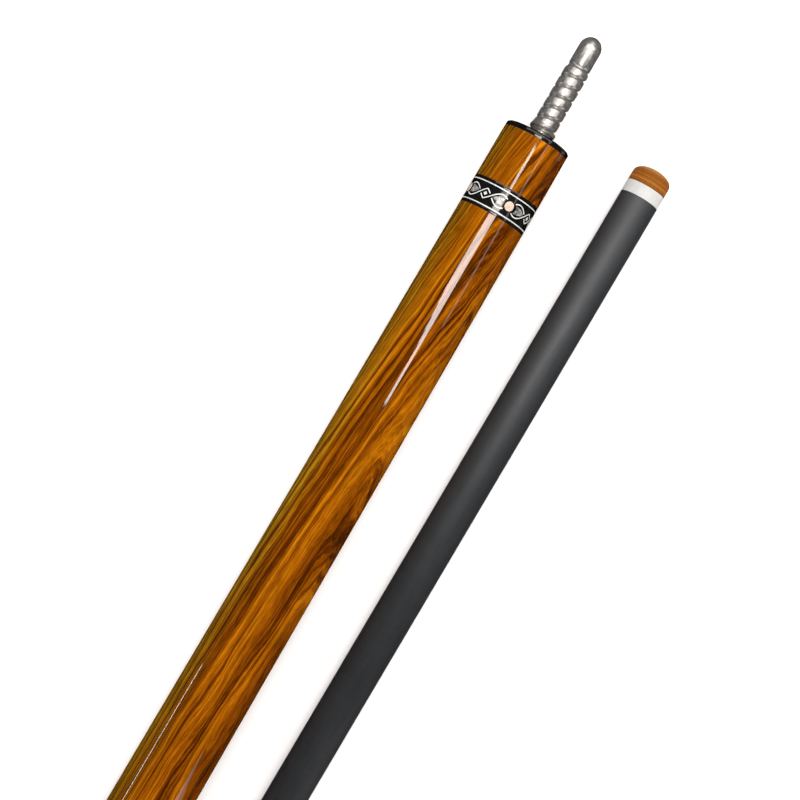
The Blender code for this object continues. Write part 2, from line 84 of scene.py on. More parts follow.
# The joint pin
PIN_REACH = 34.8 * MM
PIN_NOSE_LENGTH = 10.4 * MM
PIN_NOSE_RADIUS = 3.55 * MM
PIN_ROOT_RADIUS = 3.2 * MM
PIN_CREST_RADIUS = 3.85 * MM
PIN_FLARE_RADIUS = 4.4 * MM
PIN_PITCH = 3.6 * MM
THREAD_START = 0.44  # as a share of a turn
THREAD_END = 1.0 * MM
THREAD_FADE_IN = (24.4 * MM, 23.2 * MM)
THREAD_FADE_OUT = (1.0 * MM, 1.9 * MM)
FLARE_RISE = (4.6 * MM, 2.4 * MM)  # where the crests swell towards the flare
PIN_TAIL_RADIUS = 4.0 * MM
PIN_TAIL_LENGTH = 28 * MM
PIN_TAIL_CHAMFER = 1 * MM
PIN_HOLE_RADIUS = 4.8 * MM

# The inlays, as degrees round the ring
REPEATS = 4
FIRST_DOT = 16
LENS_TURN = 20.2
DOT_RADIUS = 1.43 * MM
DIAMOND_REACH = 0.66 * MM
INLAY_RISE = 0.02 * MM
INLAY_DEPTH = 0.5 * MM
STRAND_REACH = 2.05 * MM  # how far the silver line swings from the ring's middle
STRAND_WIDTH = 0.34 * MM
STRAND_CROSSING = 34.5
STRAND_CREST = 16.5
STRAND_START = 8
STRAND_GAP = 3.0  # to each side of a crossing
STRAND_STEP = 0.8

# The shaft, as distances behind its tip
TIP_LENGTH = 6.2 * MM
TIP_DOME = 3.1 * MM
TIP_FULLNESS = 0.8  # below 1, the dome has rounder shoulders than an ellipse
FERRULE_START = TIP_LENGTH + 0.02 * MM
FERRULE_END = 10.2 * MM
FERRULE_TENON_LENGTH = 18 * MM
TUBE_START = FERRULE_END + 0.12 * MM
SHAFT_RADIUS = 6.2 * MM
SHAFT_STRAIGHT_END = 330 * MM
SHAFT_TAPER_POWER = 1.25
TUBE_WALL = 1.3 * MM
PLUG_RADIUS = 7.6 * MM
PLUG_LENGTH = 60 * MM
SHAFT_COLLAR_LENGTH = 10 * MM
SHAFT_HOOP = 0.8 * MM
INSERT_RADIUS = 6.3 * MM
INSERT_LENGTH = 42 * MM
SOCKET_RADIUS = 4.2 * MM
SOCKET_DEPTH = 38 * MM


# Frame -----------------------------------------------------------------------------------------


def half_matrix(node, mount_name, forwards):
    """The pose of a half: its joint face's centre, with X along its axis and Z up."""
    mount = next(m for m in frame["record"]["mounts"] if m["name"] == mount_name)
    along = (Vector(mount["axis"]) * forwards).normalized()
    across = Vector((0, 0, 1)).cross(along).normalized()
    turn = Matrix((along, across, along.cross(across))).transposed()
    to_local = turn.transposed()
    points = [to_local @ v.co for v in frame["nodes"][node].data.vertices]
    middle = [(min(p[i] for p in points) + max(p[i] for p in points)) / 2 for i in (1, 2)]
    face = to_local @ Vector(mount["pos_m"])
    centre = turn @ Vector((face.x, middle[0], middle[1]))
    return Matrix.Translation(centre) @ turn.to_4x4()


BUTT = half_matrix("joint_collar", "butt_joint_face", 1)
SHAFT = half_matrix("shaft_collar", "shaft_joint_face", -1)


# Camera and stage ------------------------------------------------------------------------------

CAMERA_AIM = (-89.65 * MM, -3.9 * MM, 0)  # on the butt's own axes
CAMERA_HEIGHT = 578 * MM
CAMERA_TURN = -59.73
STRIP_HEIGHT = 1.0
STRIP_COLOUR = (1, 0.93, 0.88)
STREAK_RADIANCE = 15.0
PIN_RADIANCE = 3.2
WEDGE_STRIPS = 5  # side by side, each a little shorter than the last
WEDGE_STRIP_WIDTH = 0.055


def make_camera():
    """Straight down on the joint end, with the cue running to the lower left."""
    data = bpy.data.cameras.new("camera")
    data.lens = 86
    data.clip_start = 0.01
    camera = bpy.data.objects.new("camera", data)
    bpy.context.collection.objects.link(camera)
    camera.location = BUTT @ Vector(CAMERA_AIM) + Vector((0, 0, CAMERA_HEIGHT))
    camera.rotation_euler = (0, 0, math.radians(CAMERA_TURN))
    bpy.context.scene.camera = camera


def area_light(name, location, aim, size, power, colour=(1, 1, 1)):
    """A rectangle that faces its aim, with its first side along the cue where it hangs above."""
    data = bpy.data.lights.new(name, "AREA")
    data.shape = "RECTANGLE"
    data.size, data.size_y = size
    data.energy = power
    data.color = colour
    light = bpy.data.objects.new(name, data)
    bpy.context.collection.objects.link(light)
    light.location = location
    light.rotation_euler = (Vector(aim) - Vector(location)).to_track_quat("-Z", "X").to_euler()


def overhead(name, start, end, offset, width, radiance):
    """A strip light high above, which the gloss mirrors as a streak along the cue.

    It runs from start to end ahead of the joint face, at an offset to the cue's left.
    """
    joint = BUTT.translation
    place = Vector((joint.x + (start + end) / 2, joint.y + offset, STRIP_HEIGHT))
    power = radiance * math.pi * (end - start) * width
    area_light(name, place, place - Vector((0, 0, 1)), (end - start, width), power, STRIP_COLOUR)


def make_lights():
    """Strips for the streaks on the gloss, panels that only the pin mirrors, and soft fill light.

    A turned surface never mirrors a light beyond its own end, so the two boxes in line with the cue
    light it without glare. The line at its left and the box at its right rear light its edges.
    """
    joint = BUTT.translation
    overhead("streak", -0.076, 0.165, -0.11, 0.135, STREAK_RADIANCE)
    overhead("second_streak", 0.02, 0.30, -0.87, 0.16, 2.5)
    for i in range(WEDGE_STRIPS):
        start, offset = -0.020 + 0.012 * i, -0.0145 + WEDGE_STRIP_WIDTH * i
        overhead(f"wedge_{i + 1}", start, 0.118, offset, WEDGE_STRIP_WIDTH, STREAK_RADIANCE)
    overhead("pin_panel", 0.18, 0.60, 0, 0.66, PIN_RADIANCE)
    for name, side in (("pin_side_left", 1), ("pin_side_right", -1)):
        overhead(name, 0.25, 0.60, side * 0.72, 0.76, PIN_RADIANCE)
    middle = joint - Vector((0.1, 0, 0))
    for name, reach in (("box_ahead", 1.25), ("box_behind", -1.25)):
        area_light(name, middle + Vector((reach, 0, 1.15)), middle, (1.2, 1.1), 5)
    far = joint - Vector((0.25, 0, 0))
    area_light("side_line", joint + Vector((-0.95, 1.46, 0.33)), far, (0.03, 1.1), 3.0)
    area_light("rear_box", joint + Vector((-1.05, -1.5, 0.35)), far, (1.1, 1.0), 8.0, (1, 0.9, 0.84))
    world = bpy.data.worlds.new("studio")
    world.use_nodes = True
    world.node_tree.nodes["Background"].inputs["Color"].default_value = (1, 1, 1, 1)
    world.node_tree.nodes["Background"].inputs["Strength"].default_value = 0.95
    world.cycles_visibility.glossy = False  # the gloss shows only the lights
    bpy.context.scene.world = world


# Meshes ----------------------------------------------------------------------------------------


def finished(name, builder, half, material, body, nodes=()):
    """Turns a bmesh into a piece that stands on its half and rides on a body."""
    bmesh.ops.remove_doubles(builder, verts=builder.verts, dist=0.0005 * MM)
    bmesh.ops.recalc_face_normals(builder, faces=builder.faces)
    builder.transform(half)
    mesh = bpy.data.meshes.new(name)
    builder.to_mesh(mesh)
    builder.free()
    mesh.shade_smooth()
    mesh.set_sharp_from_angle(angle=math.radians(38))
    mesh.materials.append(material)
    piece = bpy.data.objects.new(name, mesh)
    bpy.context.collection.objects.link(piece)
    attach(piece, body)
    if nodes:
        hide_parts(*nodes)
    return piece


def add_ring(builder, x, radius, sides):
    """A ring of vertices round local X, or one vertex on the axis."""
    if radius < 0.001 * MM:
        return [builder.verts.new((x, 0, 0))] * sides
    turns = [math.tau * j / sides for j in range(sides)]
    return [builder.verts.new((x, radius * math.cos(t), radius * math.sin(t))) for t in turns]


def bridge(builder, first, second):
    """Faces between two rings, of which either may be a point on the axis."""
    count = len(first)
    for j in range(count):
        k = (j + 1) % count
        corners = []
        for vert in (first[j], first[k], second[k], second[j]):
            if vert not in corners:
                corners.append(vert)
        if len(corners) > 2:
            builder.faces.new(corners)


def softened(outline, radius):
    """The outline with its corners rounded, other than those on the axis.

    A long side gets a point close to each corner, which keeps the corner's shading off the side.
    """
    count = len(outline)
    closed = outline[0][1] > 0
    points = [Vector(p) for p in outline]
    result = []
    for i, corner in enumerate(points):
        if not closed and i in (0, count - 1):
            result.append(tuple(corner))
            continue
        back, ahead = points[i - 1] - corner, points[(i + 1) % count] - corner
        if corner.y == 0 or back.angle(ahead) > math.radians(160):
            result.append(tuple(corner))
            continue
        reach = min(radius, 0.45 * back.length, 0.45 * ahead.length)
        start, end = corner + back.normalized() * reach, corner + ahead.normalized() * reach
        if back.length > LONG_SIDE:
            result.append(tuple(corner + back.normalized() * reach * 3))
        for step in range(CORNER_STEPS + 1):
            t = step / CORNER_STEPS
            point = start * (1 - t) ** 2 + corner * 2 * t * (1 - t) + end * t**2
            result.append(tuple(point))
        if ahead.length > LONG_SIDE:
            result.append(tuple(corner + ahead.normalized() * reach * 3))
    return result


def add_skin(builder, outline, sides):
    """Rings through (x, radius) points, joined in order; returns them."""
    rings = [add_ring(builder, x, radius, sides) for x, radius in outline]
    for first, second in zip(rings, rings[1:]):
        bridge(builder, first, second)
    return rings


def turned(outline, edge=0.12 * MM):
    """A turned piece from (x, radius) points, closed on the axis or into a tube."""
    builder = bmesh.new()
    rings = add_skin(builder, softened(outline, edge), SIDES)
    if outline[0][1] > 0:
        bridge(builder, rings[-1], rings[0])
    return builder


def add_helix(builder, start, end, pitch, points, sides, radius_at):
    """A right-handed helical surface from start down to end, with radius_at(x, phase) as its radius.

    Its rows follow the thread, so a crest is one clean edge. It begins and ends in a plain ring, where
    radius_at must not depend on the phase.
    """
    rows = math.ceil(points * (1 + (start - end) / pitch))
    grid = []
    for index in range(rows + 1):
        row = []
        for j in range(sides + 1):
            share = j / sides
            x = start + pitch * (share - index / points)
            x = max(end, min(start, x))
            radius = radius_at(x, (index % points) / points)
            angle = math.tau * share
            row.append(builder.verts.new((x, radius * math.cos(angle), radius * math.sin(angle))))
        grid.append(row)
    for upper, lower in zip(grid, grid[1:]):
        for j in range(sides):
            builder.faces.new((upper[j], upper[j + 1], lower[j + 1], lower[j]))


def stations(start, end, count):
    """Evenly spaced distances, with both ends."""
    return [start + (end - start) * i / count for i in range(count + 1)]


def butt_radius(distance):
    return (JOINT_DIAMETER + TAPER_LINEAR * distance + TAPER_CURVE * distance**2) / 2


def shaft_radius(distance):
    if distance <= SHAFT_STRAIGHT_END:
        return SHAFT_RADIUS
    share = (distance - SHAFT_STRAIGHT_END) / (HALF_LENGTH - SHAFT_STRAIGHT_END)
    return SHAFT_RADIUS + (JOINT_DIAMETER / 2 - SHAFT_RADIUS) * share**SHAFT_TAPER_POWER


def quarter_turn(steps):
    """Angles from 0 to a quarter turn."""
    return [i / steps * math.pi / 2 for i in range(steps + 1)]


def sleeve_outline(start, end, bore, count=1):
    """A tube on the butt's taper between two distances behind the joint face."""
    outer = [(-d, butt_radius(d)) for d in stations(start, end, count)]
    return outer + [(-end, bore), (-start, bore)]


def smoothstep(low, high, value):
    share = max(0.0, min(1.0, (value - low) / (high - low)))
    return share * share * (3 - 2 * share)


# Materials -------------------------------------------------------------------------------------


class Nodes:
    """A material's node tree, with short calls for the nodes that the recipes below share."""

    def __init__(self, name, half=BUTT):
        self.to_half = half.inverted()
        self.material = bpy.data.materials.new(name)
        self.material.use_nodes = True
        self.tree = self.material.node_tree
        self.shader = self.tree.nodes["Principled BSDF"]

    def put(self, value, socket):
        """Links a node's output to a socket, or sets the socket's own value."""
        if isinstance(value, bpy.types.NodeSocket):
            self.tree.links.new(value, socket)
        else:
            socket.default_value = value

    def set(self, **values):
        """Sets the shader's inputs, under their own names or these short ones."""
        names = {"color": "Base Color", "coat": "Coat Weight", "coat_rough": "Coat Roughness"}
        names |= {"sheen": "Sheen Weight", "specular": "Specular IOR Level"}
        for key, value in values.items():
            self.put(value, self.shader.inputs[names.get(key, key.capitalize())])

    def coordinates(self):
        """The half's own x, y and z, in millimetres."""
        source = self.tree.nodes.new("ShaderNodeTexCoord")
        place = self.tree.nodes.new("ShaderNodeMapping")
        place.inputs["Location"].default_value = self.to_half.translation / MM
        place.inputs["Rotation"].default_value = self.to_half.to_euler()
        place.inputs["Scale"].default_value = (1 / MM, 1 / MM, 1 / MM)
        self.put(source.outputs["Object"], place.inputs["Vector"])
        split = self.tree.nodes.new("ShaderNodeSeparateXYZ")
        self.put(place.outputs[0], split.inputs[0])
        return split.outputs["X"], split.outputs["Y"], split.outputs["Z"]

    def math(self, operation, first, second=0.0, clamp=False):
        node = self.tree.nodes.new("ShaderNodeMath")
        node.operation = operation
        node.use_clamp = clamp
        self.put(first, node.inputs[0])
        self.put(second, node.inputs[1])
        return node.outputs[0]

    def scaled(self, value, factor, offset=0.0):
        """The value times a factor, plus an offset."""
        node = self.tree.nodes.new("ShaderNodeMath")
        node.operation = "MULTIPLY_ADD"
        self.put(value, node.inputs[0])
        self.put(factor, node.inputs[1])
        self.put(offset, node.inputs[2])
        return node.outputs[0]

    def vector(self, x, y, z):
        node = self.tree.nodes.new("ShaderNodeCombineXYZ")
        for value, socket in zip((x, y, z), node.inputs):
            self.put(value, socket)
        return node.outputs[0]

    def stretched(self, place, *factors):
        """A place with each of its parts scaled by its own factor."""
        return self.vector(*(self.scaled(value, factor) for value, factor in zip(place, factors)))

    def noise(self, place, scale=1.0, detail=3.0, rough=0.5, distortion=0.0):
        node = self.tree.nodes.new("ShaderNodeTexNoise")
        self.put(place, node.inputs["Vector"])
        node.inputs["Scale"].default_value = scale
        node.inputs["Detail"].default_value = detail
        node.inputs["Roughness"].default_value = rough
        node.inputs["Distortion"].default_value = distortion
        return node.outputs[0]

    def ramp(self, value, stops):
        """A colour ramp from (place, grey or colour) stops."""
        node = self.tree.nodes.new("ShaderNodeValToRGB")
        elements = node.color_ramp.elements
        while len(elements) < len(stops):
            elements.new(0.5)
        for element, (place, colour) in zip(elements, stops):
            element.position = place
            element.color = (colour, colour, colour, 1) if isinstance(colour, float) else (*colour, 1)
        self.put(value, node.inputs[0])
        return node.outputs[0]

    def mix(self, share, first, second, blend="MIX"):
        node = self.tree.nodes.new("ShaderNodeMix")
        node.data_type = "RGBA"
        node.blend_type = blend
        self.put(share, node.inputs[0])
        for value, socket in ((first, node.inputs[6]), (second, node.inputs[7])):
            self.put(value if isinstance(value, bpy.types.NodeSocket) else (*value, 1), socket)
        return node.outputs[2]

    def round_tangent(self):
        """Turns the shader's tangent round the half's axis."""
        source = self.tree.nodes.new("ShaderNodeTexCoord")
        around = self.tree.nodes.new("ShaderNodeVectorMath")
        around.operation = "CROSS_PRODUCT"
        around.inputs[0].default_value = self.to_half.inverted().col[0].xyz
        self.put(source.outputs["Normal"], around.inputs[1])
        self.put(around.outputs[0], self.shader.inputs["Tangent"])

    def bump(self, height, distance, strength):
        """Roughens the surface, by a distance in metres."""
        node = self.tree.nodes.new("ShaderNodeBump")
        node.inputs["Strength"].default_value = strength
        node.inputs["Distance"].default_value = distance
        self.put(height, node.inputs["Height"])
        self.put(node.outputs[0], self.shader.inputs["Normal"])


LAYER_LEVEL, LAYER_UP = 0.90, 0.43  # how far the growth layers face sideways, and up
LAYER_RUN = 140  # the millimetres behind the joint over which the layers slant
LAYER_RISE = 18.0  # how far they shift on the way, in millimetres


def figured_wood(name, offset=0.0):
    """Golden brown wood with dark growth lines that slant near the joint, under a clear gloss coat."""
    n = Nodes(name)
    x, y, z = n.coordinates()
    x = n.math("ADD", x, offset)
    slow = n.noise(n.stretched((x, y, z), 0.012, 0.07, 0.07), detail=1.0)
    wavy = n.noise(n.stretched((x, y, z), 0.04, 0.22, 0.22), detail=2.0)
    depth = n.math("ADD", n.scaled(y, -LAYER_LEVEL), n.scaled(z, LAYER_UP))
    run = n.math("TANH", n.scaled(x, -1 / LAYER_RUN))
    depth = n.math("ADD", depth, n.scaled(run, LAYER_RISE))
    depth = n.math("ADD", depth, n.scaled(slow, 6.0))
    depth = n.math("ADD", depth, n.scaled(wavy, 2.2))
    side = n.math("ADD", n.scaled(y, LAYER_UP), n.scaled(z, LAYER_LEVEL))
    broad = n.noise(n.vector(n.scaled(depth, 0.55), n.scaled(x, 0.002), 3.7), detail=1.0)
    middle = n.noise(n.vector(n.scaled(depth, 1.2), n.scaled(x, 0.004), 8.1), detail=2.0, rough=0.6)
    fine = n.noise(n.stretched((depth, x, side), 2.8, 0.012, 0.2), detail=3.0, rough=0.7)
    fibre = n.noise(n.stretched((x, depth, side), 0.16, 3.6, 3.6), detail=2.0, rough=0.6)
    pore = n.noise(n.stretched((x, depth, side), 0.30, 6.0, 6.0), detail=1.0)
    figure = n.noise(n.stretched((x, depth, side), 0.10, 0.15, 0.15), detail=2.0)
    lines = n.math("ADD", n.scaled(middle, 0.90, -0.45), n.scaled(fine, 0.78, -0.39))
    lines = n.math("MULTIPLY", lines, n.scaled(run, -0.14, 0.95))
    tone = n.math("ADD", lines, n.scaled(broad, 0.56, -0.28))
    tone = n.math("ADD", tone, n.scaled(fibre, 0.40, -0.20))
    tone = n.math("ADD", tone, n.scaled(run, -0.045, 0.470))
    stops = [
        (0.24, (0.036, 0.0080, 0.0004)),
        (0.34, (0.082, 0.0180, 0.0006)),
        (0.43, (0.150, 0.0370, 0.0007)),
        (0.52, (0.215, 0.0590, 0.0009)),
        (0.63, (0.310, 0.0960, 0.0014)),
        (0.78, (0.440, 0.1640, 0.0040)),
    ]
    wood = n.ramp(tone, stops)
    flecks = n.ramp(pore, [(0.30, 0.66), (0.42, 1.0), (0.68, 1.0), (0.80, 1.35)])
    wood = n.mix(1.0, wood, flecks, "MULTIPLY")
    wood = n.mix(1.0, wood, n.ramp(figure, [(0.3, 0.82), (0.7, 1.15)]), "MULTIPLY")
    # An olive tint towards the half's +Y side: partly the sapwood's own colour, partly painted greenish
    # light on that side.
    sap_and_side_light = n.ramp(n.math("ADD", n.scaled(y, 0.08), n.scaled(slow, 0.25), True), [(0.50, 0.0), (0.95, 0.9)])
    wood = n.mix(sap_and_side_light, wood, (0.70, 1.18, 3.0), "MULTIPLY")
    n.set(color=wood, roughness=0.5, specular=0.0, coat=1.0, coat_rough=0.03)
    n.bump(n.math("ADD", fibre, pore), 0.00001, 0.5)
    return n.material


def black_gloss(name):
    """Polished black phenolic, with faint swirls and a slightly uneven polish."""
    n = Nodes(name)
    x, y, z = n.coordinates()
    cloud = n.noise(n.vector(x, y, z), scale=0.5, detail=3.0)
    hair = n.noise(n.vector(n.scaled(x, 12), y, z), scale=1.0, detail=2.0)
    n.set(color=n.ramp(cloud, [(0.3, (0.003, 0.003, 0.003)), (0.8, (0.007, 0.007, 0.006))]))
    n.set(roughness=n.ramp(hair, [(0.3, 0.14), (0.8, 0.26)]), specular=0.1, coat=0.8, coat_rough=0.04)
    n.bump(hair, 0.000004, 0.4)
    return n.material


def brushed_silver(name):
    """Sanded silver, dull enough to look pale from every side."""
    n = Nodes(name)
    x, y, z = n.coordinates()
    hair = n.noise(n.vector(n.scaled(x, 30), y, z), scale=1.2, detail=3.0)
    spots = n.noise(n.vector(x, y, z), scale=1.6, detail=3.0)
    n.set(color=n.ramp(spots, [(0.3, (0.56, 0.56, 0.55)), (0.65, (0.84, 0.84, 0.83))]), metallic=0.3)
    n.set(roughness=n.ramp(hair, [(0.3, 0.28), (0.75, 0.48)]))
    n.bump(hair, 0.000004, 0.5)
    return n.material


def pearl(name, low, middle, high):
    """Mother of pearl: clouded bands with a soft lustre."""
    n = Nodes(name)
    x, y, z = n.coordinates()
    warp = n.noise(n.vector(x, y, z), scale=0.9, detail=3.0, distortion=1.2)
    bands = n.noise(n.vector(n.scaled(x, 1.8), y, z), scale=0.6, detail=2.0)
    tone = n.math("ADD", n.scaled(warp, 0.55), n.scaled(bands, 0.5))
    n.set(color=n.ramp(tone, [(0.40, low), (0.52, middle), (0.66, high)]), metallic=0.15)
    n.set(roughness=n.ramp(warp, [(0.3, 0.22), (0.7, 0.4)]), coat=0.8, coat_rough=0.05, sheen=0.2)
    return n.material


def polished_steel(name):
    """Bright turned steel with fine lathe lines and a few handling marks."""
    n = Nodes(name)
    x, y, z = n.coordinates()
    lathe = n.noise(n.stretched((x, y, z), 22, 0.4, 0.4), detail=3.0, rough=0.6)
    marks = n.noise(n.vector(x, y, z), scale=0.9, detail=4.0, rough=0.6)
    n.set(color=n.ramp(marks, [(0.30, (0.34, 0.33, 0.315)), (0.62, (0.62, 0.61, 0.59))]), metallic=0.87)
    n.set(roughness=n.ramp(lathe, [(0.3, 0.26), (0.8, 0.38)]))
    n.bump(lathe, 0.000006, 0.6)
    return n.material


def turned_brass(name):
    """Warm brass with fine lathe lines and a few stains."""
    n = Nodes(name)
    x, y, z = n.coordinates()
    lathe = n.noise(n.stretched((x, y, z), 20, 0.5, 0.5), detail=3.0)
    stain = n.noise(n.vector(x, y, z), scale=0.6, detail=3.0)
    n.set(color=n.ramp(stain, [(0.3, (0.42, 0.27, 0.09)), (0.7, (0.68, 0.47, 0.18))]), metallic=1.0)
    n.set(roughness=n.ramp(lathe, [(0.3, 0.2), (0.8, 0.42)]))
    n.bump(lathe, 0.000006, 0.5)
    return n.material


def matt_carbon(name):
    """Sanded carbon tube: fine hoops round it, faint streaks along it and small lighter flecks.

    The fibres run along the tube, so its sheen is wide across and narrow along.
    """
    n = Nodes(name, SHAFT)
    x, y, z = n.coordinates()
    hoops = n.noise(n.stretched((x, y, z), 2.6, 0.06, 0.06), detail=3.0, rough=0.7)
    streaks = n.noise(n.stretched((x, y, z), 0.10, 2.2, 2.2), detail=3.0, rough=0.6)
    cloud = n.noise(n.stretched((x, y, z), 0.06, 0.2, 0.2), detail=2.0)
    grain = n.noise(n.vector(x, y, z), scale=4.0, detail=2.0, rough=0.7)
    tone = n.math("ADD", n.scaled(hoops, 0.34), n.scaled(streaks, 0.34))
    tone = n.math("ADD", tone, n.scaled(cloud, 0.24))
    tone = n.math("ADD", tone, n.scaled(grain, 0.16))
    n.set(color=n.ramp(tone, [(0.36, (0.007, 0.008, 0.009)), (0.72, (0.021, 0.022, 0.024))]))
    n.set(roughness=n.ramp(tone, [(0.3, 0.47), (0.8, 0.40)]), specular=0.78, anisotropic=0.87)
    n.shader.inputs["Specular Tint"].default_value = (0.88, 0.94, 1.0, 1.0)
    n.round_tangent()
    n.bump(n.math("ADD", n.scaled(hoops, 0.7), n.scaled(grain, 0.5)), 0.000004, 0.3)
    return n.material


def ferrule_white(name):
    """Slightly clouded white resin, turned on a lathe."""
    n = Nodes(name, SHAFT)
    x, y, z = n.coordinates()
    cloud = n.noise(n.vector(x, y, z), scale=0.5, detail=3.0)
    lathe = n.noise(n.stretched((x, y, z), 14, 0.3, 0.3), detail=2.0)
    n.set(color=n.ramp(cloud, [(0.3, (0.44, 0.44, 0.43)), (0.7, (0.485, 0.485, 0.475))]))
    n.set(roughness=n.ramp(lathe, [(0.3, 0.32), (0.8, 0.48)]), specular=0.3)
    n.bump(lathe, 0.000006, 0.4)
    return n.material


def layered_leather(name):
    """Pressed leather: thin layers round the side, and a paler rasped crown."""
    n = Nodes(name, SHAFT)
    x, y, z = n.coordinates()
    wobble = n.noise(n.vector(n.scaled(x, 0.2), y, z), scale=0.5, detail=3.0)
    level = n.math("ADD", n.scaled(x, 2.4), n.scaled(wobble, 0.8))
    layer = n.noise(n.vector(level, 2.2, 5.1), detail=4.0, rough=0.7)
    grain = n.noise(n.vector(x, y, z), scale=3.2, detail=4.0, rough=0.7)
    tone = n.math("ADD", n.scaled(layer, 0.7), n.scaled(grain, 0.35))
    stops = [(0.38, (0.10, 0.026, 0.001)), (0.52, (0.20, 0.062, 0.004)), (0.66, (0.33, 0.12, 0.012))]
    side = n.ramp(tone, stops)
    crown = n.ramp(grain, [(0.3, (0.25, 0.105, 0.018)), (0.7, (0.38, 0.185, 0.042))])
    dome = n.math("SUBTRACT", x, (HALF_LENGTH - TIP_DOME) / MM)
    share = n.ramp(n.scaled(dome, MM / TIP_DOME), [(0.40, 0.0), (0.62, 0.9)])
    n.set(color=n.mix(share, side, crown), roughness=0.6, specular=0.1)
    n.bump(n.math("ADD", layer, grain), 0.00005, 0.6)
    return n.material


def linen_thread(name):
    """Black linen with pale flecks that run along the thread."""
    n = Nodes(name)
    x, y, z = n.coordinates()
    angle = n.math("ARCTAN2", z, y)
    fleck = n.noise(n.vector(n.scaled(x, MM / WRAP_THREAD), n.scaled(angle, 5.0), 0.0), 1.6, 2.0)
    fuzz = n.noise(n.vector(x, y, z), scale=5.0, detail=3.0, rough=0.7)
    base = n.ramp(fuzz, [(0.3, (0.010, 0.010, 0.011)), (0.7, (0.030, 0.030, 0.032))])
    pale = n.ramp(fleck, [(0.60, 0.0), (0.68, 0.75)])
    n.set(color=n.mix(pale, base, (0.40, 0.39, 0.37)), roughness=0.78, sheen=0.3)
    n.bump(fuzz, 0.00003, 0.6)
    return n.material


def moulded_rubber(name):
    """Dull black rubber with a little dust."""
    n = Nodes(name)
    x, y, z = n.coordinates()
    dust = n.noise(n.vector(x, y, z), scale=0.35, detail=4.0, rough=0.65)
    grain = n.noise(n.vector(x, y, z), scale=3.0, detail=3.0, rough=0.6)
    n.set(color=n.ramp(dust, [(0.35, (0.010, 0.010, 0.010)), (0.75, (0.032, 0.031, 0.030))]))
    n.set(roughness=n.ramp(grain, [(0.3, 0.6), (0.8, 0.82)]))
    n.bump(grain, 0.00003, 0.5)
    return n.material


def plain_core(name, dark, light):
    """Unfinished wood or foam, out of sight."""
    n = Nodes(name)
    x, y, z = n.coordinates()
    grain = n.noise(n.stretched((x, y, z), 0.08, 1.6, 1.6), detail=4.0)
    n.set(color=n.ramp(grain, [(0.3, dark), (0.7, light)]), roughness=0.7)
    n.bump(grain, 0.00003, 0.4)
    return n.material


MATERIALS = {
    "figured_wood": figured_wood("figured_wood_gloss"),
    "butt_wood": figured_wood("butt_sleeve_wood_gloss", 31.0),
    "black_phenolic": black_gloss("black_phenolic_gloss"),
    "silver": brushed_silver("silver_brushed"),
    "pearl": pearl("pearl_grey", (0.030, 0.030, 0.031), (0.19, 0.19, 0.187), (0.50, 0.50, 0.48)),
    "pink_pearl": pearl("pearl_pink", (0.56, 0.37, 0.28), (0.62, 0.43, 0.33), (0.66, 0.48, 0.38)),
    "steel": polished_steel("steel_polished"),
    "brass": turned_brass("brass_turned"),
    "plain_wood": plain_core("core_wood", (0.22, 0.12, 0.05), (0.36, 0.22, 0.11)),
    "linen": linen_thread("linen_black"),
    "rubber": moulded_rubber("rubber_black"),
    "carbon": matt_carbon("carbon_matt"),
    "foam": plain_core("core_foam", (0.50, 0.40, 0.20), (0.70, 0.60, 0.34)),
    "ferrule": ferrule_white("ferrule_white"),
    "leather": layered_leather("leather_layered"),
}


# Pieces ----------------------------------------------------------------------------------------


def butt_piece(node, builder, slot, body="butt", material=None):
    """A piece of the butt half that stands in for its node; its material is its slot's own unless given."""
    look = MATERIALS[material or slot]
    return finished(node + "_surface", builder, BUTT, look, body, [node])


def shaft_piece(node, builder, slot):
    """A piece of the shaft half that stands in for its node."""
    return finished(node + "_surface", builder, SHAFT, MATERIALS[slot], "shaft", [node])


def pin_thread(x, phase):
    """The pin's radius: a steep flank towards the nose and a long full crest towards the base."""
    knots = [(0, 1), (0.62, 0.96), (0.70, 0.80), (0.83, 0), (1, 1)]
    phase = (phase - THREAD_START) % 1
    for (low, before), (high, after) in zip(knots, knots[1:]):
        if phase <= high:
            form = before + (after - before) * (phase - low) / (high - low)
            break
    crest = PIN_CREST_RADIUS + (PIN_FLARE_RADIUS - PIN_CREST_RADIUS) * smoothstep(*FLARE_RISE, x)
    ends = smoothstep(*THREAD_FADE_OUT, x) * smoothstep(*THREAD_FADE_IN, x)
    return PIN_ROOT_RADIUS + (crest - PIN_ROOT_RADIUS) * form * ends


def make_pin():
    """The joint pin: bullet nose, neck, coarse right-hand thread, flare and hidden tail."""
    builder = bmesh.new()
    sides = 96
    neck = PIN_REACH - PIN_NOSE_LENGTH
    dome = PIN_NOSE_RADIUS * 1.05
    front = []
    for turn in quarter_turn(16):
        front.append((PIN_REACH - dome * (1 - math.cos(turn)), PIN_NOSE_RADIUS * math.sin(turn)))
    front += [
        (neck + 0.5 * MM, PIN_NOSE_RADIUS),
        (neck + 0.15 * MM, PIN_NOSE_RADIUS - 0.12 * MM),
        (neck, PIN_ROOT_RADIUS),
    ]
    rear = [
        (THREAD_END, PIN_ROOT_RADIUS),
        (0.0, PIN_TAIL_RADIUS),
        (-PIN_TAIL_LENGTH + PIN_TAIL_CHAMFER, PIN_TAIL_RADIUS),
        (-PIN_TAIL_LENGTH, PIN_TAIL_RADIUS - PIN_TAIL_CHAMFER),
        (-PIN_TAIL_LENGTH, 0),
    ]
    add_skin(builder, front, sides)
    add_skin(builder, rear, sides)
    add_helix(builder, neck, THREAD_END, PIN_PITCH, 26, sides, pin_thread)
    butt_piece("joint_pin", builder, "steel")


